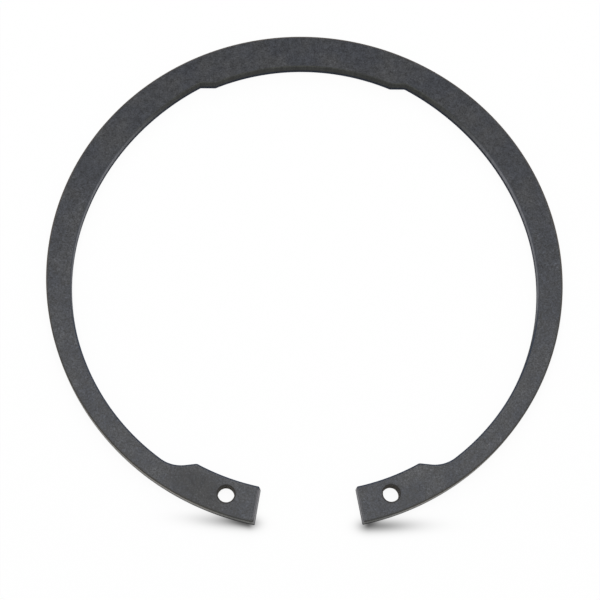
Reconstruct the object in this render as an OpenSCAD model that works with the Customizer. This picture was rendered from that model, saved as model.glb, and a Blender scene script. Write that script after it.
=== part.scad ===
/* [Ring] */
// Outside diameter of the ring when it is free
outer_d = 148; // [140:0.5:160]
// Thickness of the spring steel strip
thickness = 4; // [2:0.1:6]

/* [Pad opposite the gap] */
// Radial width at the pad
pad_w = 9.9; // [9.2:0.1:12]
// Depth below the rim's highest point at which the pad's end steps lie
pad_step_depth = 15.4; // [14.5:0.1:17]

/* [Spring arms] */
// How much smaller than the rim the radius of the long taper arc is
taper_inset = 9.3; // [8.6:0.1:10]
// Shift of the taper arc's centre towards the gap, which thins the arms there
taper_drop = 2.6; // [1.8:0.1:3.2]
// Shift of the taper arc's centre out to its own side
taper_spread = 2.1; // [1.2:0.1:2.6]
// How much larger than the taper arc the radius of the relief arc next to the pad is
relief_extra = 9.1; // [6:0.1:12]
// Direction from the pad, in degrees, in which the relief arc runs into the taper arc
join_angle = 73; // [65:1:80]

/* [Lugs] */
// Radial width at the lugs
lug_w = 10.2; // [9.5:0.1:12]
// Angle between the gap's centre line and the lug's inner corner, in degrees
lug_angle = 28.9; // [26:0.1:33]
// Slope of the lug's shoulder against a line across the ring, in degrees
shoulder_slope = 6.3; // [2:0.1:12]
// Radius that blends the arm into the shoulder
root_fillet_r = 9.5; // [5:0.1:11]
// Gap between the two lugs, across their inner corners
gap_w = 26.2; // [16:0.1:30]
// Angle of each end face against the gap's centre line, in degrees
end_angle = 10; // [0:0.5:14]

/* [Plier holes] */
// Diameter of the hole for the plier tip
hole_d = 4.6; // [3:0.1:5.4]
// Distance of the hole's centre from the rim
hole_inset = 5.7; // [5:0.1:6.2]
// Angle between the gap's centre line and the hole, in degrees
hole_angle = 19.5; // [17.5:0.1:22]

/* [Stamped edges] */
// Size of the edge that the punch rolls over, on the upper face
roll_edge = 0.4; // [0.1:0.05:0.6]
// Size of the deburred edge, on the lower face
burr_edge = 0.2; // [0.05:0.05:0.4]

/* [Hidden] */
$fn = 180;

outer_r = outer_d / 2;
bore_r = outer_r - lug_w;
pad_r = outer_r - pad_w;
pad_step_y = outer_r - pad_step_depth;

// Every cut overruns the two faces by this much, and reaches in from its wall past the
// widest strip that it takes away
overrun = 1;
cut_reach = lug_w + 2 * overrun;
// Where one arc runs into the next, the sharper one cuts deeper by this much and its cut
// is carried this many degrees further, so that no film is left between the two
blend = 0.02;
blend_angle = 8;

// Unit vector at an angle measured from +X
function unit(a) = [cos(a), sin(a)];

// The taper arc and the relief arc share a tangent where they join
join_dir = 90 - join_angle;
taper_r = outer_r - taper_inset;
taper_c = [taper_spread, -taper_drop];
relief_r = taper_r + relief_extra;
relief_c = taper_c - relief_extra * unit(join_dir);
// The relief arc is cut past the pad's step, and the step's own wall ends it
relief_stop = 75;

// The shoulder is a straight wall through the lug's inner corner
lug_corner = bore_r * unit(lug_angle - 90);
shoulder_out = unit(-shoulder_slope);
shoulder_up = unit(90 - shoulder_slope);

// The root fillet touches the shoulder and the taper arc, so its centre lies
// root_fillet_r above the one and taper_r - root_fillet_r from the other's centre
fillet_base = lug_corner + root_fillet_r * shoulder_up - taper_c;
fillet_along = fillet_base * shoulder_out;
fillet_reach = taper_r - root_fillet_r;
shoulder_len = sqrt(pow(fillet_along, 2) + pow(fillet_reach, 2) - fillet_base * fillet_base) - fillet_along;
fillet_c = taper_c + fillet_base + shoulder_len * shoulder_out;
fillet_dir = atan2(fillet_c.y - taper_c.y, fillet_c.x - taper_c.x);
shoulder_dir = -90 - shoulder_slope;

// The end face passes through the lug's end corner on the bore circle
end_corner = [gap_w / 2, -sqrt(pow(bore_r, 2) - pow(gap_w / 2, 2))];

// Profile of a cut whose wall stands at x = 0 with the material beyond it. The wall
// opens out at 45 degrees over both stamped edges
function cut_profile(inner) = [
    [inner, -overrun],
    [burr_edge + overrun, -overrun],
    [0, burr_edge],
    [0, thickness - roll_edge],
    [roll_edge + overrun, thickness + overrun],
    [inner, thickness + overrun]
];

// A full round cut about the Z axis
module round_cut(r) {
    rotate_extrude() polygon([for (p = cut_profile(-r)) p + [r, 0]]);
}

// A cut along an arc of radius r about c, from angle a0 to a1
module arc_cut(c, r, a0, a1) {
    inner = -min(cut_reach, r);
    translate([c.x, c.y, 0])
        rotate_extrude(angle = a1 - a0, start = a0)
            polygon([for (p = cut_profile(inner)) p + [r, 0]]);
}

// A cut on the -X side of a straight wall at x = 0, from y0 to y1
module wall_cut(y0, y1, reach = cut_reach) {
    translate([0, y1, 0])
        rotate([90, 0, 0])
            linear_extrude(y1 - y0)
                polygon(cut_profile(-reach));
}

// The stamped blank: a disc whose rim has both edges broken
module blank() {
    rotate_extrude()
        polygon([
            [0, 0],
            [outer_r - burr_edge, 0],
            [outer_r, burr_edge],
            [outer_r, thickness - roll_edge],
            [outer_r - roll_edge, thickness],
            [0, thickness]
        ]);
}

// The pad's own inner edge, over the upper half of the bore only
module pad_cut() {
    intersection() {
        round_cut(pad_r);
        translate([-outer_r, outer_r / 4, -2 * overrun])
            cube([2 * outer_r, outer_r, thickness + 4 * overrun]);
    }
}

// The relief arc, stopped by the step beside the pad
module relief_cut() {
    intersection() {
        arc_cut(relief_c, relief_r, join_dir, relief_stop);
        translate([0, pad_step_y, 0])
            rotate([0, 0, 90])
                wall_cut(-outer_r, 0, 2 * outer_r);
    }
}

// The shoulder's straight wall, from the root fillet to past the lug's inner corner
module shoulder_cut() {
    translate([lug_corner.x, lug_corner.y, 0])
        rotate([0, 0, shoulder_dir])
            wall_cut(-cut_reach / 2, shoulder_len);
}

// One plier hole
module hole_cut() {
    rotate([0, 0, hole_angle - 90])
        translate([outer_r - hole_inset, 0, 0])
            round_cut(hole_d / 2);
}

// The opening between the lugs, between its two end faces
module gap_cut() {
    intersection_for (side = [0, 1])
        mirror([side, 0, 0])
            translate([end_corner.x, end_corner.y, 0])
                rotate([0, 0, end_angle])
                    wall_cut(-2 * cut_reach, cut_reach, 3 * gap_w);
}

// Everything that one arm and its lug lose, on the +X side
module arm_cuts() {
    relief_cut();
    arc_cut(taper_c, taper_r + blend, fillet_dir, join_dir + blend_angle);
    translate([fillet_c.x, fillet_c.y, 0]) round_cut(root_fillet_r + 2 * blend);
    shoulder_cut();
    hole_cut();
}

module retaining_ring() {
    color([0.29, 0.30, 0.31])
        difference() {
            blank();
            round_cut(bore_r);
            pad_cut();
            arm_cuts();
            mirror([1, 0, 0]) arm_cuts();
            gap_cut();
        }
}

retaining_ring();
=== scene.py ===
"""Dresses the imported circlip: one stamped ring of phosphated spring steel in a plain studio.

The ring is a single closed surface. Its outline is a polar curve, its edge is a stamped
profile carried round that outline, and its two faces are grids that are joined to a fan of
rings round each plier hole. Lengths are in millimetres until a mesh is made, and the mesh
is in metres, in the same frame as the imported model.
"""

from __future__ import annotations

import logging
import math
from collections.abc import Callable
from dataclasses import dataclass, field, replace
from enum import Enum
from typing import Self

import bpy
import numpy as np
from mathutils import Matrix


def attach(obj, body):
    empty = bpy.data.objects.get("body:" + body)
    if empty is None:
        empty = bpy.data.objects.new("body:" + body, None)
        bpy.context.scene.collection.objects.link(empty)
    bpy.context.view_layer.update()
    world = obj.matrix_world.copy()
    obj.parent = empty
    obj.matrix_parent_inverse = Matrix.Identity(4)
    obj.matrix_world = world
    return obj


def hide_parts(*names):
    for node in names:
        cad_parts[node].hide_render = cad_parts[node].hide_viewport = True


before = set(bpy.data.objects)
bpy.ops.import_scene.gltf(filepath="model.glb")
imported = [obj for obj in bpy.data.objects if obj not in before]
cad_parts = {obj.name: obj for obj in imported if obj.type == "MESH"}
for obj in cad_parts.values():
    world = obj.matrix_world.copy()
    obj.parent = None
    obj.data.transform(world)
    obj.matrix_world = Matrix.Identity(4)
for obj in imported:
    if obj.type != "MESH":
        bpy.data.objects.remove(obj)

LOG = logging.getLogger("circlip")
METRES_PER_MM = 0.001
WHITE = (1.0, 1.0, 1.0)
Array = np.ndarray
Socket = bpy.types.NodeSocket
Pair = tuple[float, float]
Triple = tuple[float, float, float]
Colour = Triple


class Side(Enum):
    """The two halves of the ring, named as seen from above with the gap nearest."""

    LEFT = -1.0
    RIGHT = 1.0


class Mark(Enum):
    """What a mark in the steel's coating does to it."""

    SCRATCH = "scratch"
    DARK_PATCH = "dark_patch"


def direction(angle: Array | float) -> Array:
    """Unit vectors at angles in radians that are measured from +Y towards +X.

    Args:
        angle: one angle or an array of them.

    Returns:
        An array with one more axis, which holds sine and cosine of the angle.
    """
    return np.stack([np.sin(angle), np.cos(angle)], axis=-1)


def smooth_max(a: Array | float, b: Array | float, width: float) -> Array:
    """The larger of two curves, with the corner between them rounded.

    Where the curves differ by less than the width w, the result is their mean plus
    w/4 plus the squared difference over 4w, so that it meets both with equal slope.

    Args:
        a: the one curve.
        b: the other curve.
        width: the difference at which the rounding ends.

    Returns:
        The rounded upper envelope.
    """
    gap = np.clip((a - b) / width, -1.0, 1.0)
    rounded = (a + b) / 2 + width * (gap**2 + 1) / 4
    return np.where(np.abs(a - b) < width, rounded, np.maximum(a, b))


def smooth_min(a: Array | float, b: Array | float, width: float) -> Array:
    """The smaller of two curves with a rounded corner: minus the smooth_max of minus both."""
    return -smooth_max(-np.asarray(a), -np.asarray(b), width)


def travel(points: Array) -> Array:
    """Distance along a line of points, from the first one to each of them."""
    steps = np.linalg.norm(np.diff(points, axis=0), axis=1)
    return np.concatenate([[0.0], np.cumsum(steps)])


def circle_reach(rays: Array, centre: Array, radius: float) -> Array:
    """How far a ray from the ring's centre goes before it leaves a circle.

    With c the centre and u the ray, it is c.u plus the root of r^2 - |c|^2 + (c.u)^2.

    Args:
        rays: unit vectors, one per row.
        centre: the circle's centre.
        radius: the circle's radius.

    Returns:
        One distance per ray.
    """
    along = rays @ centre
    return along + np.sqrt(np.maximum(radius**2 - centre @ centre + along**2, 0.0))


@dataclass
class Rim:
    """A stretch of outline: its points, and the directions that point out of the steel."""

    points: Array
    outward: Array

    def inset(self, depth: Array | float) -> Array:
        """The points moved into the steel by a depth."""
        return self.points - self.outward * depth

    def joined(self, *others: Rim) -> Rim:
        """This stretch and the others, one after another."""
        parts = (self, *others)
        return Rim(np.concatenate([p.points for p in parts]),
                   np.concatenate([p.outward for p in parts]))

    def cut(self, rows: slice) -> Rim:
        """The stretch's rows that a slice picks."""
        return Rim(self.points[rows], self.outward[rows])

    def mirrored(self) -> Rim:
        """The stretch on the other side of the ring's centre line, in reverse order."""
        flip = np.array([-1.0, 1.0])
        return Rim(self.points[::-1] * flip, self.outward[::-1] * flip)


@dataclass
class RingPlan:
    """The ring's outline seen from above, in millimetres and degrees, the pad towards +Y.

    The crowd's widths and weights belong to the bell curves that draw its stations
    together: at the head and the foot of the pad's step, at both ends of the root fillet,
    at the lug's inner corner and before the tail, which is the even row at the end.
    """

    rim_r: float = 74.0
    lug_w: float = 10.2
    pad_w: float = 9.9
    pad_step_depth: float = 15.4
    taper_inset: float = 9.3
    taper_drop: float = 2.6
    taper_spread: float = 2.1
    relief_extra: float = 9.1
    join_angle: float = 73.0
    lug_angle: float = 28.9
    shoulder_slope: float = 6.3
    root_fillet_r: float = 9.5
    gap_w: float = 26.2
    end_angle: float = 10.0
    step_rounding: float = 0.12
    peak_rounding: float = 0.25
    outer_corner_r: float = 0.30
    inner_corner_r: float = 0.28
    end_setback: float = 0.0
    stations: int = 300
    samples: int = 4000
    step_span: float = 3.6
    crowd_widths: tuple[float, ...] = (0.7, 0.9, 3.0, 2.0, 0.7, 1.4)
    crowd_weights: tuple[float, ...] = (6.0, 4.0, 2.0, 2.0, 7.0, 2.0)
    tail_span: float = 2.6
    tail_steps: int = 7
    corner_steps: int = 3
    end_rows: int = 10

    def __post_init__(self) -> None:
        """Works out the centres and the directions at which one curve hands over to the next."""
        self.bore_r = self.rim_r - self.lug_w
        self.pad_r = self.rim_r - self.pad_w
        self.step_y = self.rim_r - self.pad_step_depth
        self.join = math.radians(self.join_angle)
        self.taper_r = self.rim_r - self.taper_inset
        self.taper_c = np.array([self.taper_spread, -self.taper_drop])
        self.relief_r = self.taper_r + self.relief_extra
        self.relief_c = self.taper_c - self.relief_extra * direction(self.join)
        slope = math.radians(self.shoulder_slope)
        self.peak = direction(math.pi - math.radians(self.lug_angle)) * self.bore_r
        self.shoulder_out = np.array([math.cos(slope), -math.sin(slope)])
        self.shoulder_up = np.array([math.sin(slope), math.cos(slope)])
        base = self.peak + self.root_fillet_r * self.shoulder_up - self.taper_c
        along = base @ self.shoulder_out
        reach = self.taper_r - self.root_fillet_r
        length = math.sqrt(along**2 + reach**2 - base @ base) - along
        self.fillet_c = self.taper_c + base + length * self.shoulder_out
        to_fillet = (self.fillet_c - self.taper_c) / reach
        self.root_start = self._bearing(self.taper_c + self.taper_r * to_fillet)
        self.root_end = self._bearing(self.fillet_c - self.root_fillet_r * self.shoulder_up)
        lean = math.radians(self.end_angle)
        self.end_down = np.array([math.sin(lean), -math.cos(lean)])
        self.end_outward = np.array([-math.cos(lean), -math.sin(lean)])
        half_gap = self.gap_w / 2
        self.end_corner = np.array([half_gap, -math.sqrt(self.bore_r**2 - half_gap**2)])
        self.end_tip = self.corner_centre(self.rim_r, 0.0)

    @staticmethod
    def _bearing(point: Array) -> float:
        """Angle of a point from +Y towards +X, in radians."""
        return math.atan2(point[0], point[1])

    def inner_radius(self, angle: Array) -> Array:
        """Distance from the centre to the inner outline, as one function of the angle.

        From the pad to the gap it is the pad's arc, the straight step, the relief arc,
        the taper arc, the root fillet, the straight shoulder and the lug's bore arc. Each
        corner is a rounded maximum or minimum of its two neighbours.

        Args:
            angle: angles from +Y, in radians.

        Returns:
            One distance per angle.
        """
        turn = np.abs(angle)
        rays = direction(turn)
        relief = circle_reach(rays, self.relief_c, self.relief_r)
        # A ray that runs along a straight wall, or away from it, counts as this steep to it
        least = 0.1
        step = self.step_y / np.maximum(np.cos(turn), least)
        upper = smooth_min(relief, step, self.step_rounding)
        upper = smooth_max(self.pad_r, upper, self.step_rounding)
        taper = circle_reach(rays, self.taper_c, self.taper_r)
        fillet = circle_reach(rays, self.fillet_c, self.root_fillet_r)
        facing = np.minimum(rays @ self.shoulder_up, -least)
        shoulder = (self.peak @ self.shoulder_up) / facing
        lower = np.where(turn < self.root_end, fillet, shoulder)
        lower = np.where(turn < self.root_start, taper, lower)
        lower = smooth_max(self.bore_r, lower, self.peak_rounding)
        return np.where(turn < self.join, upper, lower)

    def inner_rim(self, angle: Array) -> Rim:
        """The inner outline at some angles.

        The outward direction is square to the slope, which is the radius a small step
        after the angle less the one as far before it, over twice that step.

        Args:
            angle: angles from +Y, in radians.

        Returns:
            The points and their outward directions.
        """
        step = 1e-5
        rays, across = direction(angle), direction(angle + math.pi / 2)
        radius = self.inner_radius(angle)
        slope = (self.inner_radius(angle + step) - self.inner_radius(angle - step)) / (2 * step)
        outward = across * slope[:, None] - rays * radius[:, None]
        outward /= np.linalg.norm(outward, axis=1, keepdims=True)
        return Rim(rays * radius[:, None], outward)

    def corner_centre(self, reach: float, inside: float) -> Array:
        """Centre of an end corner's arc.

        It lies at one distance from the ring's centre and at another inside the end face,
        which is where a line parallel to that face meets a circle.

        Args:
            reach: distance of the arc's centre from the ring's centre.
            inside: distance of the arc's centre from the end face.

        Returns:
            The centre's two coordinates.
        """
        start = self.end_corner - inside * self.end_outward
        along = start @ self.end_down
        travel = math.sqrt(along**2 + reach**2 - start @ start) - along
        return start + travel * self.end_down

    @staticmethod
    def arc(centre: Array, radius: float, start: Array, stop: Array, share: Array) -> Rim:
        """Part of a circular arc that turns from one outward direction to another.

        Args:
            centre: centre of the arc.
            radius: radius of the arc.
            start: outward direction at share 0.
            stop: outward direction at share 1.
            share: where along the arc the points lie.

        Returns:
            The points and their outward directions.
        """
        first = math.atan2(start[1], start[0])
        sweep = math.atan2(start[0] * stop[1] - start[1] * stop[0], start @ stop)
        turn = first + sweep * share
        outward = np.stack([np.cos(turn), np.sin(turn)], axis=-1)
        return Rim(centre + radius * outward, outward)

    def spread(self, corner: Array, last: float) -> Array:
        """Station angles from the pad's middle to the end, closer together at each feature.

        The density is 1 plus the bell curves of the crowd, and the stations cut its
        running sum into equal parts, up to a short way before the end. The tail follows,
        so that only the tail depends on how the end's corner is rounded.

        Args:
            corner: the sharp corner of the end.
            last: the last station's angle in radians.

        Returns:
            The angles, from 0 to the last one.
        """
        stop = self._bearing(corner) - math.radians(self.tail_span)
        fine = np.linspace(0.0, stop, self.samples)
        head = math.acos(self.step_y / self.pad_r)
        foot = head + math.radians(self.step_span)
        spots = np.array([head, foot, self.root_start, self.root_end,
                          math.pi - math.radians(self.lug_angle), stop])
        offsets = (fine[:, None] - spots) / np.radians(self.crowd_widths)
        bells = np.exp(-(offsets**2)) @ np.array(self.crowd_weights)
        total = np.concatenate([[0.0], np.cumsum((bells[1:] + bells[:-1]) / 2 + 1.0)])
        even = np.linspace(stop, last, self.tail_steps + 1)[1:]
        return np.append(np.interp(np.linspace(0.0, total[-1], self.stations), total, fine), even)

    def sides(self) -> tuple[Rim, Rim, Rim]:
        """The half outline on the +X side: rim, inner edge and end face.

        Returns:
            The rim and the inner edge, both from the pad's middle to the middle of the
            end's corner, with equal numbers of points, and the end face from the one
            corner's middle to the other's.
        """
        half = np.linspace(0.0, 0.5, self.corner_steps + 1)
        angles, corners = [], []
        # The circle, the corner's radius, 1 where the steel lies inside, and the sharp corner
        bends = ((self.rim_r, self.outer_corner_r, 1, self.end_tip),
                 (self.bore_r, self.inner_corner_r, -1, self.end_corner))
        for circle_r, radius, sign, tip in bends:
            centre = self.corner_centre(circle_r - sign * radius, radius + self.end_setback)
            angles.append(self.spread(tip, self._bearing(centre)))
            start = sign * direction(angles[-1][-1])
            corners.append([self.arc(centre, radius, start, self.end_outward, part)
                            for part in (half[1:], half + 0.5)])
        (rim_corner, first), (edge_corner, last) = corners
        rays = direction(angles[0])
        rim = Rim(rays * self.rim_r, rays).joined(rim_corner)
        edge = self.inner_rim(angles[1]).joined(edge_corner)
        last = last.cut(slice(None, None, -1))
        share = np.linspace(0.0, 1.0, self.end_rows + 2)[1:-1, None]
        straight = first.points[-1] * (1 - share) + last.points[0] * share
        flat = Rim(straight, np.broadcast_to(self.end_outward, straight.shape))
        return rim, edge, first.joined(flat, last)


@dataclass
class StampedEdge:
    """Section of a punched edge, from the upper face down to the lower one.

    The punch rolls the upper corner over in a quarter ellipse, burnishes a smooth land
    below it, and then the steel breaks, which leaves a rougher band that leans back. The
    lower corner is a small tumbled chamfer.
    """

    thickness: float = 4.0
    roll_width: float = 0.38
    roll_height: float = 0.30
    roll_steps: int = 7
    land_bottom: float = 1.70
    break_depth: float = 0.015
    break_height: float = 0.10
    lean: float = 0.02
    burr: float = 0.12
    land_rows: int = 3
    broken_rows: int = 6
    torn_margin: float = 0.12

    def profile(self) -> tuple[Array, Array, Array]:
        """Depth into the steel, height and torn share of each row of the edge.

        Over the broken band the torn share is a half sine, which starts a margin above
        the band and ends the same margin below it.

        Returns:
            Three arrays of one length, from the upper face's border to the lower one's.
        """
        turn = np.linspace(0.0, math.pi / 2, self.roll_steps + 1)
        roll_d = self.roll_width * (1 - np.sin(turn))
        roll_z = self.thickness - self.roll_height * (1 - np.cos(turn))
        land_z = np.linspace(roll_z[-1], self.land_bottom, self.land_rows + 1)[1:]
        down = np.linspace(0.0, 1.0, self.broken_rows)
        top = self.land_bottom - self.break_height
        broken_z = top + (self.burr - top) * down
        broken_d = self.break_depth + self.lean * down
        depth = np.concatenate([roll_d, land_z * 0, broken_d, [self.lower_inset()]])
        height = np.concatenate([roll_z, land_z, broken_z, [0.0]])
        rough = np.sin(math.pi * (down + self.torn_margin) / (1 + 2 * self.torn_margin))
        torn = np.concatenate([roll_d * 0, land_z * 0, rough, [0.0]])
        return depth, height, torn

    def lower_inset(self, share: float = 1.0) -> float:
        """How far the lower face's border lies inside the outline, or a share of that."""
        return (self.break_depth + self.lean + self.burr) * share


@dataclass
class SurfaceParts:
    """Collects grids of points, joins those that share a border, and makes the mesh.

    Points that agree in so many decimals are one point, and an edge is sharp from the
    sharp angle on, in degrees.
    """

    decimals: int = 6
    sharp_angle: float = 40.0
    points: list[Array] = field(default_factory=list)
    roll_shadings: list[Array] = field(default_factory=list)
    walls: list[Array] = field(default_factory=list)
    quads: list[Array] = field(default_factory=list)
    count: int = 0

    def add(self, grid: Array, roll_shading: Array | float, wall: float, turned: bool,
            kept: Array | None = None) -> None:
        """Adds a grid of points and the faces between them.

        A face joins a point to the next one along the second axis, then the same pair on
        the next row.

        Args:
            grid: points as rows by columns by 3, in millimetres.
            roll_shading: how much of the rolled corner's painted light and shade each point
                takes, of the grid's shape.
            wall: 1 on a wall and 0 on a face.
            turned: whether the faces are wound the other way.
            kept: which faces an open grid makes, rows - 1 by columns - 1. Where it is
                left out, the last column joins the first and every face is made.
        """
        rows, columns = grid.shape[:2]
        here = np.arange(rows * columns).reshape(rows, columns) + self.count
        after = np.roll(here, -1, axis=1)
        quad = np.stack([here[:-1], after[:-1], after[1:], here[1:]], axis=-1)
        quad = quad.reshape(-1, 4) if kept is None else quad[:, :-1][kept]
        self.quads.append(quad[:, ::-1] if turned else quad)
        self.points.append(grid.reshape(-1, 3))
        self.roll_shadings.append(np.broadcast_to(roll_shading, (rows, columns)).ravel())
        self.walls.append(np.full(rows * columns, wall))
        self.count += rows * columns

    def mesh(self, name: str, measures: Callable[[Array], dict[str, Array]]) -> bpy.types.Mesh:
        """Merges the points that coincide and hands everything to a mesh, in metres.

        Args:
            name: name of the mesh.
            measures: works out further attributes from the points' places.

        Returns:
            The mesh, with the attributes edge_roll_shading, wall and the further ones on its
            points.
        """
        points = np.concatenate(self.points)
        quads = np.concatenate(self.quads)
        # Adding 0.0 turns a key of minus zero into plain zero
        keys = np.round(points, self.decimals) + 0.0
        _, first, where = np.unique(keys, axis=0, return_index=True, return_inverse=True)
        quads = where.reshape(-1)[quads]
        used, small = np.unique(quads, return_inverse=True)
        quads = small.reshape(quads.shape)
        kept = first[used]
        mesh = bpy.data.meshes.new(name)
        mesh.vertices.add(len(kept))
        mesh.vertices.foreach_set("co", (points[kept] * METRES_PER_MM).ravel())
        mesh.loops.add(quads.size)
        mesh.loops.foreach_set("vertex_index", quads.ravel().astype(np.int32))
        mesh.polygons.add(len(quads))
        mesh.polygons.foreach_set("loop_start", np.arange(0, quads.size, 4, dtype=np.int32))
        layers = {"edge_roll_shading": np.concatenate(self.roll_shadings)[kept],
                  "wall": np.concatenate(self.walls)[kept], **measures(points[kept])}
        for label, values in layers.items():
            layer = mesh.attributes.new(label, "FLOAT", "POINT")
            layer.data.foreach_set("value", values.astype(np.float32))
        mesh.update(calc_edges=True)
        mesh.validate()
        mesh.polygons.foreach_set("use_smooth", np.ones(len(mesh.polygons), dtype=bool))
        mesh.set_sharp_from_angle(angle=math.radians(self.sharp_angle))
        return mesh


@dataclass
class PlierHole:
    """One plier hole and the ring of faces that ties it to the lug's grid."""

    side: Side
    diameter: float = 4.6
    inset: float = 5.7
    angle: float = 19.5
    roll_width: float = 0.42
    foot_share: float = 0.05
    rings: int = 9
    ring_crowding: float = 1.6
    reach: float = 4.4

    def bearing(self) -> float:
        """Angle from +Y towards its own side at which the hole lies, in radians."""
        return math.pi - math.radians(self.angle)

    def centre(self, plan: RingPlan) -> Array:
        """Centre of the hole in the ring's frame."""
        place = direction(self.bearing()) * (plan.rim_r - self.inset)
        return place * np.array([self.side.value, 1.0])

    def block(self, plan: RingPlan, stations: Array) -> slice:
        """Stations of the lug's grid between which the hole sits.

        Args:
            plan: the ring's outline.
            stations: angle of each station.

        Returns:
            The slice of stations, both borders included.
        """
        span = self.reach / (plan.rim_r - self.inset)
        near = np.flatnonzero(np.abs(stations - self.side.value * self.bearing()) < span)
        return slice(int(near[0]), int(near[-1]) + 1)

    @staticmethod
    def loop(grid: Array, rows: slice, columns: slice) -> Array:
        """The border of a block of the grid, once round from its first corner."""
        block = grid[rows, columns]
        return np.concatenate([block[:-1, 0], block[-1, :-1], block[:0:-1, -1], block[0, :0:-1]])

    def rim(self, plan: RingPlan, border: Array) -> Rim:
        """The hole's outline, one point for each point of the block's border.

        Each point's angle is the mean of the angle at which its border point is seen
        from the hole's centre and of an even spread, so that the faces stay square.

        Args:
            plan: the ring's outline.
            border: the block's border points.

        Returns:
            The hole's outline, whose outward directions point to its centre.
        """
        centre = self.centre(plan)
        seen = np.unwrap(np.arctan2(*(border[:, :2] - centre).T[::-1]))
        turn = np.sign(seen[-1] - seen[0]) * 2 * math.pi
        even = np.arange(len(seen)) / len(seen) * turn
        angle = (seen + (even + (seen - even).mean())) / 2
        outward = -np.stack([np.cos(angle), np.sin(angle)], axis=-1)
        return Rim(centre - outward * self.diameter / 2, outward)

    def shares(self) -> Array:
        """How far each ring of faces lies from the hole, closer together at its edge."""
        return np.linspace(0.0, 1.0, self.rings) ** self.ring_crowding


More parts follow.
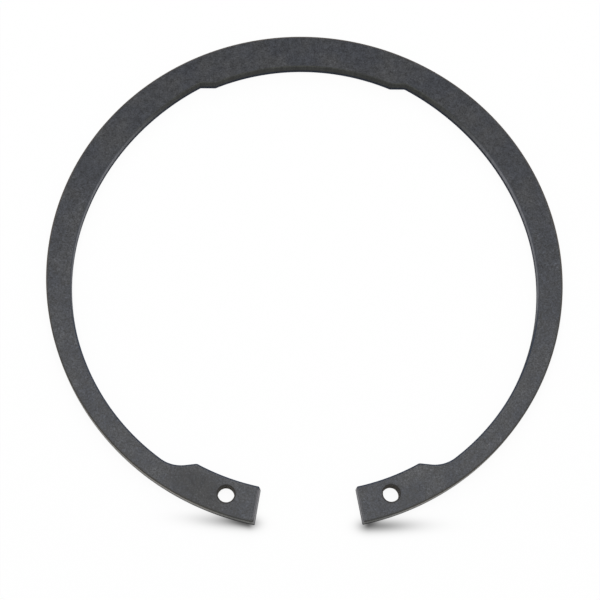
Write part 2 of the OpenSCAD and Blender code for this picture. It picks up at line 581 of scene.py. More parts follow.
@dataclass
class RetainingRing:
    """The whole circlip: its outline, its stamped edge and its two plier holes."""

    plan: RingPlan = field(default_factory=RingPlan)
    edge: StampedEdge = field(default_factory=StampedEdge)
    holes: tuple[PlierHole, ...] = (PlierHole(Side.LEFT), PlierHole(Side.RIGHT))
    upper_outer_corner_r: float = 0.50
    upper_inner_corner_r: float = 0.40
    upper_left_setback: float = 0.50
    upper_right_setback: float = 0.12
    end_fade: float = 8.0
    torn_size: float = 0.008
    ripple_slant: float = 0.35
    ripples: tuple[Pair, ...] = ((3.1, 0.0), (5.3, 1.0), (1.37, 2.0))
    border_reach: float = 3.0

    def face_grid(self, sides: tuple[Rim, ...], depth: float, height: float) -> Array:
        """A flat face as a grid that is stations long and rows wide.

        A point is the blend of the rim and the inner edge by the row's share. Near each
        end, what the end face departs from that blend is added, times the cube of a share
        that falls from 1 at the end to 0 at the fade's length from it.

        Args:
            sides: rim, inner edge, right end and left end of the whole ring.
            depth: how far inside the outline the face's border lies.
            height: the face's height.

        Returns:
            The grid, as stations by rows by 3.
        """
        rim, inner, shaded_right_end, lit_left_end = (s.inset(depth) for s in sides)
        down = travel(shaded_right_end)[:, None]
        share = down / down[-1]
        grid = rim[:, None] * (1 - share) + inner[:, None] * share
        along = travel(rim)
        for end, away in ((shaded_right_end, along[-1] - along), (lit_left_end, along)):
            extra = end - (end[:1] * (1 - share) + end[-1:] * share)
            grid = grid + extra * np.clip(1 - away / self.end_fade, 0, 1)[:, None, None] ** 3
        return np.concatenate([grid, np.full(grid.shape[:2] + (1,), height)], axis=-1)

    def edge_grid(self, foot: Rim, head: Rim, roll_scale: float = 1.0,
                  foot_scale: float = 1.0) -> tuple[Array, Array]:
        """The stamped profile carried round a closed outline.

        A row's outline is the straight blend of the two given ones by its height. Its
        points are then moved into the steel by the row's depth. On the broken band the
        depth ripples: it gets the mean of three sines of the distance along the edge,
        which slant with the height and whose lengths have no common measure.

        Args:
            foot: the closed outline at the lower face.
            head: the closed outline at the upper face, where the corners are rolled more.
            roll_scale: width of the rolled corner as a share of the profile's own.
            foot_scale: depth of the broken band and the burr as a share of the profile's own.

        Returns:
            The points as rows by outline by 3, and each row's share of the rolled corner's
            painted light and shade.
        """
        depth, height, torn = self.edge.profile()
        rolled = np.arange(len(depth)) <= self.edge.roll_steps
        depth = depth * np.where(rolled, roll_scale, foot_scale)
        phase = travel(foot.points)[None, :] + height[:, None] * self.ripple_slant
        ripple = sum(np.sin(phase * pace + start) for pace, start in self.ripples)
        ripple = ripple / len(self.ripples) + 0.5
        sunk = depth[:, None] + torn[:, None] * self.torn_size * ripple
        rise = (height - self.edge.burr) / (self.edge.thickness - self.edge.burr)
        rise = np.clip(rise, 0.0, 1.0)[:, None, None]
        flat = (foot.points * (1 - rise) + head.points * rise
                - (foot.outward * (1 - rise) + head.outward * rise) * sunk[..., None])
        level = np.broadcast_to(height[:, None, None], flat.shape[:2] + (1,))
        # The top of the rolled corner takes the roll's colour, which is mostly painted light and
        # shade
        lift = (height - self.edge.thickness) / self.edge.roll_height + 1
        roll_shading = np.sqrt(np.clip(lift, 0.0, 1.0))
        return np.concatenate([flat, level], axis=-1), roll_shading[:, None]

    def whole(self, left: RingPlan, right: RingPlan) -> tuple[tuple[Rim, ...], Rim]:
        """Both sides of the ring's outline.

        Args:
            left: the plan whose half is mirrored to the left.
            right: the plan of the right half.

        Returns:
            Rim, inner edge, right end and left end of the whole ring, and its closed outline.
        """
        left_rim, left_inner, lit_left_end = (s.mirrored() for s in left.sides())
        rim, inner, end = right.sides()
        rim = left_rim.joined(rim.cut(slice(1, None)))
        inner = left_inner.joined(inner.cut(slice(1, None)))
        closed = rim.joined(end.cut(slice(1, None)), inner.cut(slice(-2, None, -1)),
                            lit_left_end.cut(slice(1, -1)))
        return (rim, inner, end, lit_left_end.cut(slice(None, None, -1))), closed

    def measures(self, points: Array) -> dict[str, Array]:
        """How far each point lies from the nearest edge, and which way that edge faces.

        The distance is seen from above. It is the least of the distances to the rim, to
        the inner outline along the radius, to the end faces and to the plier holes. The
        facing is 1 at the rim and in a hole, -1 at the inner outline and 0 at an end face.
        The left half is measured as if it were folded onto the right one.

        Args:
            points: one point per row, in millimetres.

        Returns:
            The attributes border and facing.
        """
        plan = self.plan
        radius = np.linalg.norm(points[:, :2], axis=1)
        angle = np.arctan2(points[:, 0], points[:, 1])
        folded = np.column_stack([np.abs(points[:, 0]), points[:, 1]])
        right = [h for h in self.holes if h.side is Side.RIGHT]
        away = [np.linalg.norm(folded - h.centre(plan), axis=1) - h.diameter / 2 for h in right]
        edges = np.stack([plan.rim_r - radius, radius - plan.inner_radius(angle),
                          (plan.end_corner - folded) @ plan.end_outward, *away])
        nearest = np.argmin(edges, axis=0)
        facing = np.array([1.0, -1.0, 0.0] + [1.0] * len(away))[nearest]
        return {"border": np.clip(edges.min(axis=0), 0.0, self.border_reach), "facing": facing}

    def mesh(self) -> bpy.types.Mesh:
        """Builds every grid of the ring and joins them into one closed mesh.

        They are the stamped wall all round, for each hole a fan of rings on both faces and
        the hole's own wall, and the two faces without the blocks that the fans fill.

        Returns:
            The mesh, in metres.
        """
        rolled = (replace(self.plan, outer_corner_r=self.upper_outer_corner_r,
                          inner_corner_r=self.upper_inner_corner_r, end_setback=setback)
                  for setback in (self.upper_left_setback, self.upper_right_setback))
        lower_sides, foot = self.whole(self.plan, self.plan)
        upper_sides, head = self.whole(*rolled)
        parts = SurfaceParts()
        parts.add(*self.edge_grid(foot, head), wall=1.0, turned=False)
        upper = self.face_grid(upper_sides, self.edge.roll_width, self.edge.thickness)
        lower = self.face_grid(lower_sides, self.edge.lower_inset(), 0.0)
        rim = lower_sides[0].points
        stations = np.arctan2(rim[:, 0], rim[:, 1])
        # The blocks leave out the rows that run into the rounded corners of the ends
        border = self.plan.corner_steps + 1
        rows = slice(border, upper.shape[1] - border)
        open_cells = np.ones((upper.shape[0] - 1, upper.shape[1] - 1), dtype=bool)
        for hole in self.holes:
            block = hole.block(self.plan, stations)
            open_cells[block.start:block.stop - 1, rows.start:rows.stop - 1] = False
            outline = hole.rim(self.plan, hole.loop(lower, block, rows))
            for grid, sunk in ((upper, hole.roll_width),
                               (lower, self.edge.lower_inset(hole.foot_share))):
                around = hole.loop(grid, block, rows)
                near = np.column_stack([outline.inset(sunk), around[:, 2]])
                share = hole.shares()[:, None, None]
                fan = near[None] * (1 - share) + around[None] * share
                parts.add(fan, roll_shading=0.0, wall=0.0, turned=grid is lower)
            roll_scale = hole.roll_width / self.edge.roll_width
            tube = self.edge_grid(outline, outline, roll_scale, hole.foot_share)
            parts.add(*tube, wall=1.0, turned=True)
        for grid in (upper, lower):
            parts.add(grid, roll_shading=0.0, wall=0.0, turned=grid is lower, kept=open_cells)
        return parts.mesh("retaining_ring", self.measures)


class Wiring:
    """A short way to add nodes to a tree and to join them."""

    column_step, row_step, rows = 190, 160, 5

    def __init__(self, tree: bpy.types.NodeTree) -> None:
        """Keeps the tree, and the column in which the next node is drawn."""
        self.tree = tree
        self.column = 0

    @classmethod
    def emptied(cls, owner: bpy.types.Material | bpy.types.World, *extra: object) -> Self:
        """Empties the node tree that a material or a world has of its own.

        Args:
            owner: the material or the world.
            extra: what else this kind of wiring is made from.

        Returns:
            The wiring of that tree.
        """
        owner.use_nodes = True
        owner.node_tree.nodes.clear()
        return cls(owner.node_tree, *extra)

    def add(self, kind: str, inputs: dict[str | int, object] | None = None,
            **settings: object) -> bpy.types.Node:
        """Adds a node.

        Args:
            kind: the node's type name in Blender.
            inputs: values, or sockets to join, by input name or number. The alpha of a
                colour may be left out, and is then 1.
            settings: properties of the node.

        Returns:
            The new node.
        """
        node = self.tree.nodes.new(kind)
        row = self.column % self.rows
        node.location = (self.column * self.column_step, -row * self.row_step)
        self.column += 1
        for name, value in settings.items():
            setattr(node, name, value)
        for name, value in (inputs or {}).items():
            socket = node.inputs[name]
            if isinstance(value, Socket):
                self.tree.links.new(value, socket)
            elif socket.type == "RGBA":
                socket.default_value = (*value[:3], 1.0)
            else:
                socket.default_value = value
        return node

    def maths(self, operation: str, *values: object, clamp: bool = False) -> Socket:
        """A Math node's result."""
        return self.add("ShaderNodeMath", dict(enumerate(values)), operation=operation,
                        use_clamp=clamp).outputs[0]

    def times(self, first: object, second: object) -> Socket:
        """The product of two values."""
        return self.maths("MULTIPLY", first, second)

    def less(self, first: object, second: object) -> Socket:
        """The first value less the second."""
        return self.maths("SUBTRACT", first, second)

    def blend(self, share: object, first: object, second: object) -> Socket:
        """A blend of two values."""
        return self.maths("ADD", self.times(first, self.less(1.0, share)),
                          self.times(second, share))

    def bell(self, *offsets: tuple[object, object]) -> Socket:
        """A bell curve: exp of minus the sum of the squared offsets, each over its width.

        Args:
            offsets: each offset with its width.

        Returns:
            The curve's value, 1 where all offsets are 0.
        """
        total = 0.0
        for offset, width in offsets:
            ratio = self.maths("DIVIDE", offset, width)
            total = self.maths("ADD", total, self.times(ratio, ratio))
        return self.maths("POWER", math.e, self.times(total, -1.0))

    def vector(self, operation: str, *values: object) -> Socket:
        """A Vector Math node's result."""
        node = self.add("ShaderNodeVectorMath", dict(enumerate(values)), operation=operation)
        return node.outputs["Value" if operation == "LENGTH" else "Vector"]

    def parts(self, vector: Socket) -> bpy.types.NodeOutputs:
        """The three parts of a vector."""
        return self.add("ShaderNodeSeparateXYZ", {0: vector}).outputs

    def ramp(self, value: object, low: float, high: float, to_low: object = 0.0,
             to_high: object = 1.0) -> Socket:
        """A smooth step of a value from one range to another.

        Args:
            value: the value.
            low: where the step begins.
            high: where it ends.
            to_low: the result up to the step.
            to_high: the result past the step.

        Returns:
            The result.
        """
        limits = {"From Min": low, "From Max": high, "To Min": to_low, "To Max": to_high}
        return self.add("ShaderNodeMapRange", {"Value": value, **limits},
                        interpolation_type="SMOOTHSTEP").outputs[0]

    def noise(self, vector: Socket, look: Triple) -> Socket:
        """A noise texture's value, about 0.5 on average, by its scale, detail and roughness."""
        inputs = dict(zip(("Vector", "Scale", "Detail", "Roughness"), (vector, *look)))
        return self.add("ShaderNodeTexNoise", inputs).outputs["Fac"]

    def mix(self, share: object, first: object, second: object) -> Socket:
        """A blend of two colours."""
        return self.add("ShaderNodeMix", {"Factor": share, 6: first, 7: second},
                        data_type="RGBA").outputs[2]

    def group(self, tree: bpy.types.NodeTree, inputs: dict[str | int, object]) -> Socket:
        """The mask that a node group puts out."""
        return self.add("ShaderNodeGroup", inputs, node_tree=tree).outputs[0]


def new_group(
    name: str, vectors: tuple[str, ...], values: tuple[str, ...]
) -> tuple[bpy.types.NodeTree, Wiring, bpy.types.NodeOutputs, Socket]:
    """Makes an empty node group that puts out a mask.

    Args:
        name: name of the group.
        vectors: names of the vectors that it takes.
        values: names of the values that it takes.

    Returns:
        The tree, its wiring, the sockets of what it takes and the socket of its mask.
    """
    tree = bpy.data.node_groups.new(name, "ShaderNodeTree")
    kinds = dict.fromkeys(vectors, "NodeSocketVector") | dict.fromkeys(values, "NodeSocketFloat")
    for label, kind in kinds.items():
        tree.interface.new_socket(name=label, in_out="INPUT", socket_type=kind)
    tree.interface.new_socket(name="Mask", in_out="OUTPUT", socket_type="NodeSocketFloat")
    w = Wiring(tree)
    return tree, w, w.add("NodeGroupInput").outputs, w.add("NodeGroupOutput").inputs[0]


def speck_group() -> bpy.types.NodeTree:
    """Scattered round specks: in a few of the cells of a Voronoi pattern, a dot at the middle.

    The cell's own random colour chooses it, and makes its dot from 0.4 to 1.4 times the size.

    Returns:
        The node group.
    """
    tree, w, given, mask = new_group("specks", ("Vector",), ("Scale", "Share", "Size"))
    cells = w.add("ShaderNodeTexVoronoi", {name: given[name] for name in ("Vector", "Scale")})
    draws = w.add("ShaderNodeSeparateColor", {0: cells.outputs["Color"]}).outputs
    chosen = w.maths("LESS_THAN", draws[0], given["Share"])
    size = w.times(given["Size"], w.maths("ADD", draws[1], 0.4))
    rest = w.less(size, cells.outputs["Distance"])
    dot = w.maths("DIVIDE", rest, size, clamp=True)
    tree.links.new(w.times(dot, chosen), mask)
    return tree


def mark_group() -> bpy.types.NodeTree:
    """One straight mark that fades towards its ends and its sides.

    Returns:
        The node group.
    """
    # Shares of its length and of its width, counted from its middle
    full_up_to, gone_from = 0.2, 0.75
    tree, w, given, mask = new_group("mark", ("Vector", "Middle"), ("Turn", "Length", "Width"))
    offset = w.vector("SUBTRACT", given["Vector"], given["Middle"])
    turned = w.add("ShaderNodeVectorRotate", {"Vector": offset, "Angle": given["Turn"]},
                   rotation_type="Z_AXIS")
    along, across, _ = w.parts(turned.outputs[0])
    ratios = (w.maths("DIVIDE", w.maths("ABSOLUTE", part), given[size])
              for part, size in ((along, "Length"), (across, "Width")))
    shares = (w.ramp(ratio, full_up_to, gone_from, 1.0, 0.0) for ratio in ratios)
    tree.links.new(w.times(*shares), mask)
    return tree


@dataclass(frozen=True)
class CoatingMark:
    """A mark in the coating: place and size in millimetres, turn in degrees, and strength."""

    kind: Mark
    x: float
    y: float
    turn: float
    length: float
    width: float
    strength: float


@dataclass(frozen=True)
class Speckling:
    """Specks strewn over the coating, each in the middle of a cell.

    Scale is the number of cells per millimetre, share says in how many of them a speck
    lies, and its size is a share of the cell.
    """

    scale: float
    share: float
    size: float
    strength: float
    tone: Colour


class SteelWiring(Wiring):
    """Wiring with noises over the ring's surface, and masks that tell its parts apart."""

    def __init__(self, tree: bpy.types.NodeTree, steel: PhosphatedSteel) -> None:
        """Reads the mesh's attributes and the place on the ring, in millimetres.

        Args:
            tree: the material's node tree.
            steel: the finish, whose spans say where each part begins.
        """
        super().__init__(tree)
        where = self.add("ShaderNodeTexCoord").outputs["Object"]
        self.here = self.vector("MULTIPLY", where, (1 / METRES_PER_MM,) * 3)
        self.wall, self.roll_shading, self.border, self.facing = (
            self.add("ShaderNodeAttribute", attribute_name=label).outputs["Fac"]
            for label in ("wall", "edge_roll_shading", "border", "facing"))
        self.x, self.y, self.height = self.parts(self.here)
        self.clouds, self.mottle, self.grain, self.patches = (
            self.noise(self.here, look)
            for look in (steel.clouds, steel.mottle, steel.grain, steel.patches))
        drawn = self.add("ShaderNodeMapping", {"Vector": self.here, "Scale": steel.streak_draw})
        self.streaks = self.noise(drawn.outputs[0], steel.streaks)
        self.outer = self.maths("ADD", self.facing, 0.0, clamp=True)
        self.inner = self.maths("MULTIPLY", self.facing, -1.0, clamp=True)
        from_axis = self.vector("LENGTH", self.here)
        self.hole = self.times(self.ramp(from_axis, *steel.rim_span, 1.0, 0.0), self.outer)
        self.torn = self.ramp(self.height, *steel.torn_span, 1.0, 0.0)
        self.far = self.ramp(self.y, *steel.far_span)
        self.past_lugs = self.ramp(self.y, *steel.lug_span)
        self.at_pad = self.ramp(self.y, *steel.pad_span)
        # The two ends differ by painted light: the left end lit, the right end shaded
        self.end_light_tone = self.mix(self.ramp(self.x, *steel.middle_span), steel.lit_left_end,
                                 steel.shaded_right_end)


@dataclass(frozen=True)
class PhosphatedSteel:
    """Black phosphated spring steel: matt and cloudy on the faces, smoother on the edges.

    A noise is given by its scale, detail and roughness, with millimetres as its unit, and
    a range is the stretch of a noise's values over which it takes effect. A span is the
    stretch, in millimetres, over which one part of the ring turns into the next: along
    the ring's centre line, across it for middle_span, up from the lower face for
    torn_span and foot_span, out from the ring's centre for rim_span, and in from the edge
    for border_span.
    """

    cool: Colour = (0.0286, 0.0314, 0.0392)
    warm: Colour = (0.0330, 0.0340, 0.0368)
    # The near rim's and the holes' rolled corners are darkened by painted shade
    near_rim_roll_shade: Colour = (0.022, 0.022, 0.022)
    far_rim_roll: Colour = (0.052, 0.043, 0.038)
    rim_land: Colour = (0.150, 0.136, 0.112)
    rim_tip: Colour = (0.118, 0.120, 0.112)
    hole_land: Colour = (0.120, 0.110, 0.098)
    hole_roll_shade: Colour = (0.020, 0.020, 0.021)
    # End faces: painted light on the left, painted shade on the right
    lit_left_end: Colour = (0.120, 0.118, 0.128)
    shaded_right_end: Colour = (0.088, 0.088, 0.096)
    lug_roll: Colour = (0.030, 0.040, 0.064)
    arm_roll: Colour = (0.042, 0.045, 0.054)
    # Inner-wall lands: a painted highlight along the arms, painted shade at the pad and the lugs
    arm_land_highlight: Colour = (0.172, 0.176, 0.192)
    pad_roll_highlight: Colour = (0.066, 0.068, 0.062)
    inner_land_shade: Colour = (0.044, 0.045, 0.043)
    broken_tone: Colour = (0.030, 0.030, 0.032)
    inner_foot_shade: Colour = (0.012, 0.018, 0.034)
    scratch: Colour = (0.20, 0.20, 0.21)
    dark_patch: Colour = (0.006, 0.006, 0.007)
    clouds: Triple = (0.11, 3.0, 0.55)
    mottle: Triple = (0.65, 4.0, 0.65)
    grain: Triple = (2.6, 2.0, 0.7)
    patches: Triple = (1.7, 3.0, 0.7)
    streaks: Triple = (1.1, 4.0, 0.6)
    streak_draw: Triple = (1.0, 1.0, 0.12)
    cloud_range: Pair = (0.35, 0.65)
    scratch_range: Pair = (0.3, 0.6)
    dark_patch_range: Pair = (0.40, 0.56)
    matt_range: Pair = (0.3, 0.7)
    streak_range: Pair = (0.3, 0.7)
    highlight_streak_range: Pair = (0.4, 0.6)
    middle_span: Pair = (-1.0, 1.0)
    far_span: Pair = (-30.0, 10.0)
    arm_span: Pair = (0.0, 40.0)
    tip_span: Pair = (-71.5, -67.0)
    lug_span: Pair = (-20.0, -8.0)
    pad_span: Pair = (30.0, 56.0)
    rim_span: Pair = (71.0, 73.0)
    torn_span: Pair = (1.55, 1.85)
    foot_span: Pair = (0.9, 1.7)
    border_span: Pair = (0.3, 1.1)
    border_shade: float = 0.20
    cloud_gain: float = 0.7
    mottle_gain: float = 1.5
    grain_gain: float = 2.8
    least_gain: float = 0.2
    arm_contrast: float = 1.75
    scratch_least: float = 0.4
    dark_patch_least: float = 0.25
    streak_gain: Pair = (0.80, 1.20)
    # How much of the roll's painted light and shade covers the rolled corner
    roll_shading_share: float = 0.9
    face_roughness: Pair = (0.26, 0.38)
    outer_roughness: float = 0.45
    torn_roughness: float = 0.14
    inner_roughness: float = 0.95
    index: float = 1.30
    relief: float = 0.00004
    relief_strength: float = 0.6
    grain_relief: float = 0.6
    mottle_relief: float = 0.8
    land_relief: float = 0.25
    specks: tuple[Speckling, ...] = (
        # The bright specks are painted glints; the dark ones are the coating's own
        Speckling(1.4, 0.12, 0.18, 0.40, (0.20, 0.20, 0.21)),
        Speckling(1.1, 0.12, 0.24, 0.6, (0.016, 0.016, 0.017)),
    )
    marks: tuple[CoatingMark, ...] = (
        CoatingMark(Mark.SCRATCH, 53.8, -49.2, 78.0, 2.0, 0.20, 0.45),
        CoatingMark(Mark.SCRATCH, 50.4, -50.7, 35.0, 1.1, 0.22, 0.35),
        CoatingMark(Mark.DARK_PATCH, 34.8, -58.5, 70.0, 2.6, 1.0, 0.6),
        # These two large dark patches make the left lug's face darker as a whole
        CoatingMark(Mark.DARK_PATCH, -32.2, -61.0, -27.0, 14.0, 7.0, 0.8),
        CoatingMark(Mark.DARK_PATCH, -28.5, -65.0, -22.0, 13.0, 9.0, 0.8),
    )

    def face_colour(self, w: SteelWiring) -> Socket:
        """Colour of the two faces.

        It runs from the cool to the warm tone with soft clouds, and three noises make it
        lighter and darker, most on the side of the lugs. A painted shade darkens it along the
        near rim.
        Specks and marks lie on top.

        Args:
            w: the material's wiring, with its masks and noises.

        Returns:
            The colour.
        """
        tone = w.mix(w.ramp(w.clouds, *self.cloud_range), self.cool, self.warm)
        near_rim = w.times(w.outer, w.less(1.0, w.far))
        # Painted shade along the near rim's border
        painted_rim_shade = w.ramp(w.border, *self.border_span, self.border_shade, 0.0)
        gain = w.less(1.0, w.times(near_rim, painted_rim_shade))
        contrast = w.ramp(w.y, *self.arm_span, self.arm_contrast, 1.0)
        for noise, size in ((w.clouds, self.cloud_gain), (w.mottle, self.mottle_gain),
                            (w.grain, self.grain_gain)):
            change = w.times(w.times(w.less(noise, 0.5), size), contrast)
            gain = w.times(gain, w.maths("ADD", change, 1.0))
        colour = w.vector("MULTIPLY", tone, w.maths("MAXIMUM", gain, self.least_gain))
        specks, marks = speck_group(), mark_group()
        for speck in self.specks:
            mask = w.group(specks, {"Vector": w.here, "Scale": speck.scale,
                                    "Share": speck.share, "Size": speck.size})
            colour = w.mix(w.times(mask, speck.strength), colour, speck.tone)
        sparse = w.ramp(w.grain, *self.scratch_range, self.scratch_least, 1.0)
        patchy = w.ramp(w.patches, *self.dark_patch_range, self.dark_patch_least, 1.0)
        for mark in self.marks:
            mask = w.group(marks, {
                "Vector": w.here, "Middle": (mark.x, mark.y, 0.0),
                "Turn": -math.radians(mark.turn), "Length": mark.length, "Width": mark.width,
            })
            tone, broken = ((self.scratch, sparse) if mark.kind is Mark.SCRATCH
                            else (self.dark_patch, patchy))
            colour = w.mix(w.times(w.times(mask, mark.strength), broken), colour, tone)
        return colour

    def wall_colour(self, w: SteelWiring) -> Socket:
        """Colour of the punched walls: the smooth land, and the broken band below it.

        Args:
            w: the material's wiring, with its masks and noises.

        Returns:
            The colour.
        """
        rim_land = w.mix(w.ramp(w.y, *self.tip_span), self.rim_tip, self.rim_land)
        rim_land = w.mix(w.hole, rim_land, self.hole_land)
        # Painted light on the inner walls' land: a highlight along the arms, shade at the pad and
        # lugs
        inner_land = w.mix(w.less(w.past_lugs, w.at_pad), self.inner_land_shade, self.arm_land_highlight)
        land = w.mix(w.inner, w.mix(w.outer, w.end_light_tone, rim_land), inner_land)
        # Painted shade, tinted blue, at the foot of the inner walls
        foot = w.times(w.ramp(w.height, *self.foot_span, 1.0, 0.0), w.inner)
        low = w.mix(foot, self.broken_tone, self.inner_foot_shade)
        low = w.mix(w.maths("ABSOLUTE", w.facing), w.end_light_tone, low)
        low = w.mix(w.hole, low, self.hole_land)
        gain = w.ramp(w.streaks, *self.streak_range, *self.streak_gain)
        return w.vector("MULTIPLY", w.mix(w.torn, land, low), gain)

    def roll_colour(self, w: SteelWiring) -> Socket:
        """Colour of the corner that the punch rolled over, with a painted highlight in streaks at
        the pad.

        Args:
            w: the material's wiring, with its masks and noises.

        Returns:
            The colour.
        """
        # A painted highlight in streaks on the pad's rolled corner, over its painted shade
        streaked_highlight = w.mix(w.ramp(w.streaks, *self.highlight_streak_range), self.inner_land_shade, self.pad_roll_highlight)
        inner = w.mix(w.at_pad, w.mix(w.past_lugs, self.lug_roll, self.arm_roll), streaked_highlight)
        # Painted shade on the near rim's rolled corner and on the holes' rolled corners
        rim = w.mix(w.hole, w.mix(w.far, self.near_rim_roll_shade, self.far_rim_roll), self.hole_roll_shade)
        return w.mix(w.inner, w.mix(w.outer, w.end_light_tone, rim), inner)

    def roughness(self, w: SteelWiring) -> Socket:
        """Roughness: mottled on the faces, and on the walls highest inside the ring and holes.

        Args:
            w: the material's wiring, with its masks and noises.

        Returns:
            The roughness.
        """
        face = w.ramp(w.mottle, *self.matt_range, *self.face_roughness)
        punched = w.maths("ADD", w.times(w.torn, self.torn_roughness), self.outer_roughness)
        matt = w.times(w.maths("MAXIMUM", w.inner, w.hole), self.inner_roughness)
        return w.blend(w.wall, face, w.maths("MAXIMUM", punched, matt))

    def normal(self, w: SteelWiring) -> Socket:
        """Normals of the fine relief: grainy faces, and walls that are streaked.

        Args:
            w: the material's wiring, with its masks and noises.

        Returns:
            The normal.
        """
        face = w.maths("ADD", w.times(w.grain, self.grain_relief),
                       w.times(w.mottle, self.mottle_relief))
        wall = w.times(w.streaks, w.maths("ADD", w.torn, self.land_relief))
        height = w.blend(w.wall, face, wall)
        return w.add("ShaderNodeBump", {"Height": height, "Strength": self.relief_strength,
                                        "Distance": self.relief}).outputs[0]

    def build(self) -> bpy.types.Material:
        """Makes the material from the attributes of the ring's mesh.

        Returns:
            The material.
        """
        material = bpy.data.materials.new("phosphated_steel")
        w = SteelWiring.emptied(material, self)
        colour = w.mix(w.wall, self.face_colour(w), self.wall_colour(w))
        # The rolled corner gets its painted light and shade
        colour = w.mix(w.times(w.roll_shading, self.roll_shading_share), colour, self.roll_colour(w))
        shader = w.add("ShaderNodeBsdfPrincipled", {
            "Base Color": colour, "Roughness": self.roughness(w), "Metallic": 0.0,
            "IOR": self.index, "Normal": self.normal(w),
        })
        w.add("ShaderNodeOutputMaterial", {"Surface": shader.outputs[0]})
        return material


def in_scene(name: str, data: bpy.types.ID) -> bpy.types.Object:
    """Puts a new object that holds some data in the scene.

    Args:
        name: name of the object.
        data: the mesh, the camera or the lamp that it holds.

    Returns:
        The object.
    """
    item = bpy.data.objects.new(name, data)
    bpy.context.scene.collection.objects.link(item)
    return item


def placed(name: str, data: bpy.types.ID, axes: tuple[Array, Array, Array],
           place: Array | Triple) -> bpy.types.Object:
    """Puts a camera or a lamp in its place in the scene.

    Args:
        name: name of the object.
        data: the camera or the lamp.
        axes: its own three axes.
        place: where it stands.

    Returns:
        The object.
    """
    item = in_scene(name, data)
    turn = np.eye(4)
    turn[:3] = np.column_stack([*axes, place])
    item.matrix_world = Matrix(turn.tolist())
    return item


@dataclass(frozen=True)
class SoftLamp:
    """A softbox that faces the ring: where it hangs, its two sizes and its power."""

    name: str
    place: Triple
    width: float
    depth: float
    watts: float


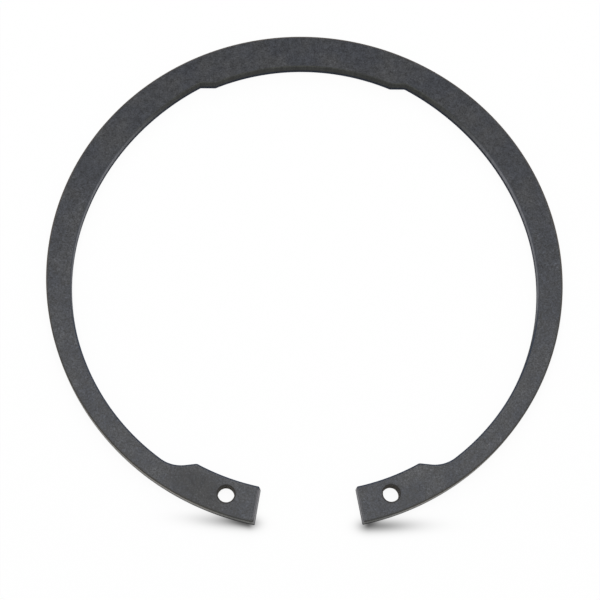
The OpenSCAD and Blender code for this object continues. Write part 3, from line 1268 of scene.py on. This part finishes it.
@dataclass
class Studio:
    """Camera, floor, backdrop and soft light, in metres and degrees.

    Of the contact's widths, the first counts towards the gap, the second away from it and
    the third across the rim. The tight contact's are towards the gap, then away from it
    on the left and on the right. A span is the stretch over which one side turns into the
    other.
    """

    lens: float = 108.24
    sensor: float = 36.0
    view_depth: Pair = (0.01, 50.0)
    distance: float = 0.518
    tilt: float = 17.58
    azimuth: float = -8.41
    roll: float = 8.11
    aim: Triple = (-0.001608, -0.007219, 0.0)
    floor_half: float = 3.0
    floor_grey: float = 0.95
    plain_white: float = 0.93
    world_fill: float = 0.48
    lamps: tuple[SoftLamp, ...] = (
        SoftLamp("softbox_above", (0.0, 0.10, 0.95), 0.85, 0.45, 4.9),
        SoftLamp("softbox_behind", (0.0, 0.90, 0.70), 0.45, 0.45, 1.8),
    )
    contact_place: Pair = (0.0169, -0.0728)
    contact_lean: float = 0.032
    contact_slope: float = 0.038
    contact_widths: Triple = (0.0031, 0.0119, 0.0018)
    contact_depth: float = 0.72
    rim_radius: float = 0.074
    tight_start: float = 0.0168
    tight_widths: Triple = (0.0012, 0.0060, 0.0025)
    tight_height: float = 0.0010
    tight_depth: float = 0.65
    lug_span: Pair = (-0.05, -0.04)
    middle_span: Pair = (-0.001, 0.001)

    def camera(self) -> None:
        """Places the camera at the photograph's viewing angle and makes it the scene's own."""
        tilt, azimuth, roll = (math.radians(a) for a in (self.tilt, self.azimuth, self.roll))
        back = np.array([math.sin(tilt) * math.sin(azimuth),
                         -math.sin(tilt) * math.cos(azimuth), math.cos(tilt)])
        right = np.cross(-back, [0.0, 0.0, 1.0])
        right /= np.linalg.norm(right)
        up = np.cross(right, -back)
        across = math.cos(roll) * right + math.sin(roll) * up
        along = -math.sin(roll) * right + math.cos(roll) * up
        data = bpy.data.cameras.new("camera")
        data.lens, data.sensor_width = self.lens, self.sensor
        data.clip_start, data.clip_end = self.view_depth
        place = np.array(self.aim) + self.distance * back
        bpy.context.scene.camera = placed("camera", data, (across, along, back), place)

    @staticmethod
    def seen_directly(w: Wiring) -> Socket:
        """Tells the rays that see a surface from those that only light the scene with it.

        Args:
            w: the wiring of the world or of a material.

        Returns:
            A mask that is 1 for rays from the camera, from gloss and through glass.
        """
        path = w.add("ShaderNodeLightPath").outputs
        camera, glossy, through = (path[f"Is {kind} Ray"]
                                   for kind in ("Camera", "Glossy", "Transmission"))
        return w.maths("MAXIMUM", w.maths("MAXIMUM", camera, glossy), through)

    def world(self) -> None:
        """A white surround that lights the scene evenly and a little less than it shows."""
        world = bpy.data.worlds.new("studio")
        w = Wiring.emptied(world)
        strength = w.ramp(self.seen_directly(w), 0.0, 1.0, self.world_fill, 1.0)
        light = w.add("ShaderNodeBackground", {"Color": WHITE, "Strength": strength})
        w.add("ShaderNodeOutputWorld", {"Surface": light.outputs[0]})
        bpy.context.scene.world = world

    def contact(self, w: Wiring, where: Socket) -> Socket:
        """The deep soft shadow that lies along the outer foot of each lug.

        It is a bell curve of the distance from the ring's centre line and of the one along
        it. Each shadow slopes up away from the gap as the rim does, and the pair leans,
        because the light comes a little from one side.

        Args:
            w: the floor material's wiring.
            where: place on the floor.

        Returns:
            How much darker the floor is.
        """
        x, y, _ = w.parts(where)
        towards_gap, away, across = self.contact_widths
        out = w.maths("ABSOLUTE", x)
        along = w.less(out, self.contact_place[0])
        leant = w.maths("ADD", y, w.times(x, self.contact_lean))
        level = w.less(leant, w.times(out, self.contact_slope))
        bell = w.bell((w.less(level, self.contact_place[1]), across),
                      (w.maths("MAXIMUM", along, 0.0), away),
                      (w.maths("MINIMUM", along, 0.0), towards_gap))
        return w.times(bell, self.contact_depth)

    def tight_contact(self, w: Wiring, where: Socket) -> Socket:
        """A thin painted shadow in which each lug's end meets the floor.

        It is a bell curve too, of the distance beyond the rim and of the one along it. It
        is short on the right, where the light comes in, and very short towards the gap.

        Args:
            w: the floor material's wiring.
            where: place on the floor.

        Returns:
            How much darker the floor is.
        """
        x, y, _ = w.parts(where)
        towards_gap, left, right = self.tight_widths
        beyond = w.less(w.vector("LENGTH", where), self.rim_radius)
        along = w.less(w.maths("ABSOLUTE", x), self.tight_start)
        away = w.ramp(x, *self.middle_span, left, right)
        bell = w.bell((beyond, self.tight_height),
                      (w.maths("MAXIMUM", along, 0.0), away),
                      (w.maths("MINIMUM", along, 0.0), towards_gap))
        return w.times(bell, w.ramp(y, *self.lug_span, self.tight_depth, 0.0))

    def floor(self) -> None:
        """A white floor that keeps the ring's shadows, with a painted shadow deepest along the
        lugs' outer foot.
        """
        corners = np.array([[-1, -1, 0], [1, -1, 0], [1, 1, 0], [-1, 1, 0]]) * self.floor_half
        mesh = bpy.data.meshes.new("floor")
        mesh.from_pydata(corners.tolist(), [], [(0, 1, 2, 3)])
        floor = in_scene("floor", mesh)
        material = bpy.data.materials.new("white_floor")
        w = Wiring.emptied(material)
        where = w.add("ShaderNodeTexCoord").outputs["Object"]
        # Painted shadows under the lugs darken both the floor's grey and its plain white
        lit = w.times(w.less(1.0, self.contact(w, where)),
                      w.less(1.0, self.tight_contact(w, where)))
        grey = w.vector("MULTIPLY", (self.floor_grey,) * 3, lit)
        matt = w.add("ShaderNodeBsdfDiffuse", {"Color": grey})
        white = w.add("ShaderNodeEmission", {"Color": WHITE, "Strength": lit})
        share = w.times(self.seen_directly(w), self.plain_white)
        both = w.add("ShaderNodeMixShader", {0: share, 1: matt.outputs[0], 2: white.outputs[0]})
        w.add("ShaderNodeOutputMaterial", {"Surface": both.outputs[0]})
        mesh.materials.append(material)

    def lights(self) -> None:
        """Hangs each softbox and turns it towards the ring's centre."""
        for lamp in self.lamps:
            data = bpy.data.lights.new(lamp.name, "AREA")
            data.shape, data.size, data.size_y = "RECTANGLE", lamp.width, lamp.depth
            data.energy = lamp.watts
            back = np.array(lamp.place) / np.linalg.norm(lamp.place)
            side = np.cross([0.0, 1.0, 0.0], back)
            side /= np.linalg.norm(side)
            placed(lamp.name, data, (side, np.cross(back, side), back), lamp.place)


def main() -> None:
    """Sets up the studio, builds the ring, dresses it and reports each piece."""
    logging.basicConfig(level=logging.INFO, format="%(name)s: %(message)s")
    bpy.context.scene.view_settings.view_transform = "Standard"
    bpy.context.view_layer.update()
    studio = Studio()
    studio.camera()
    studio.world()
    studio.floor()
    studio.lights()
    LOG.info("studio ready with %d softboxes", len(studio.lamps))
    mesh = RetainingRing().mesh()
    mesh.materials.append(PhosphatedSteel().build())
    ring = in_scene("circlip", mesh)
    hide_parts("retaining_ring")
    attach(ring, "root")
    LOG.info("ring: %d points, %d faces", len(mesh.vertices), len(mesh.polygons))


if __name__ == "__main__":
    main()
